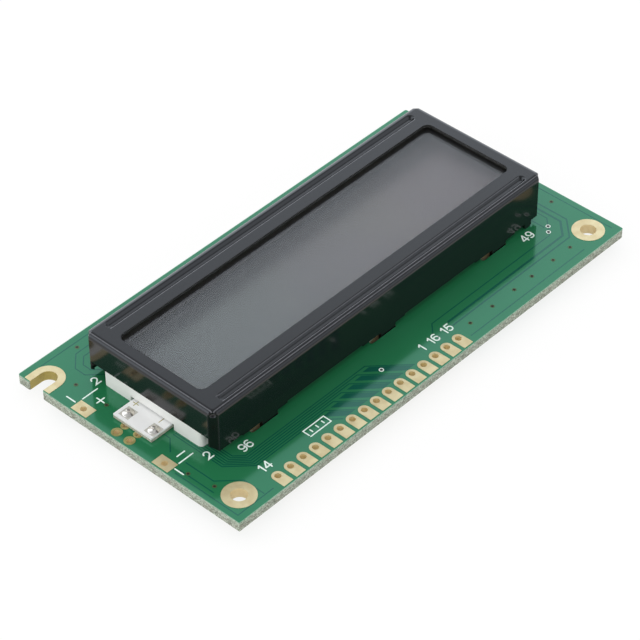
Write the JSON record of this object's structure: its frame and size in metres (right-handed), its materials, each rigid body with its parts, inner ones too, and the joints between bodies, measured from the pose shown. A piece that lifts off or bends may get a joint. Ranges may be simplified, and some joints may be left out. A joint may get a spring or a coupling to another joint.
{
  "type": "character lcd module",
  "caption": "Character display module: glass cell and backlight clamped to a circuit board by a pressed metal bezel with twisted tabs.",
  "frame": {"origin": "centre of the circuit board, at the height of the bezel's tab ends, which the module stands on", "axes": "+X along the board's length, +Y across it from the connector edge to the far edge, +Z out of the display's face"},
  "size_m": [0.084, 0.044, 0.0122],
  "materials": {
    "board": "glossy green solder mask over glass-epoxy laminate",
    "gold": "thin gold plating over nickel and copper",
    "bezel": "semi-gloss black paint",
    "polarizer": "smooth grey film with a fine anti-glare surface",
    "glass": "polished",
    "seal": "cured epoxy",
    "elastomer": "silicone with conducting layers",
    "white_plastic": "satin white reflector plastic",
    "diffuser": "milky",
    "white_board": "white solder mask over a brown laminate",
    "led": "cured phosphor resin in a white case",
    "tin": "bright tin",
    "epoxy": "glossy black epoxy",
    "resistor": "black glaze",
    "capacitor": "fired ceramic"
  },
  "bodies": {
    "root": {"circuit_board": "board", "mounting_lands": "gold", "connector_lands": "gold", "supply_lands": "gold", "link_lands": "gold", "contact_fingers": "gold", "bezel": "bezel", "front_polarizer": "polarizer", "front_glass": "glass", "cell_seal": "seal", "rear_glass": "glass", "rear_polarizer": "polarizer", "front_elastomer_strip": "elastomer", "rear_elastomer_strip": "elastomer", "backlight_frame": "white_plastic", "diffuser": "diffuser", "backlight_board": "white_board", "led_chips": "led", "backlight_pins": "tin", "backlight_solder": "tin", "controller_drop": "epoxy", "driver_drop": "epoxy", "resistor_bodies": "resistor", "resistor_ends": "tin", "capacitor_bodies": "capacitor", "capacitor_ends": "tin"}
  },
  "joints": []
}
